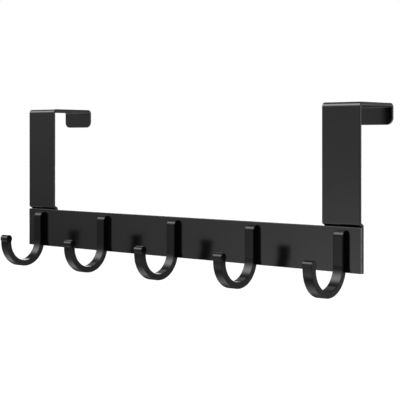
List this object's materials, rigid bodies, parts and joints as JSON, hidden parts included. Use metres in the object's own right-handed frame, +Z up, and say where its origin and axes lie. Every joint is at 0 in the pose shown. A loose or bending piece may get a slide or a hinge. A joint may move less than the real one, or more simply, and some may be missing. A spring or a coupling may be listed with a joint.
{
  "type": "over door hook rack",
  "caption": "Flat rail with J-shaped hooks, hung on a door by folded strips that wrap over the door's top edge.",
  "frame": {"origin": "the top front edge of the door, midway along the rail: where the plane of the tabs' backs meets the plane under the top plates", "axes": "+X along the rail, to the right seen from the room; +Y into the door; +Z up"},
  "size_m": [0.3374, 0.0868, 0.1328],
  "materials": {
    "rail": "satin black coating",
    "hook": "satin black coating",
    "bracket": "satin black coating",
    "screw": "blackened steel"
  },
  "bodies": {
    "root": {"rail": "rail", "hook_1": "hook", "hook_2": "hook", "hook_3": "hook", "hook_4": "hook", "hook_5": "hook", "bracket_left": "bracket", "bracket_right": "bracket", "screws_outer": "screw", "screws_inner": "screw"}
  },
  "joints": []
}
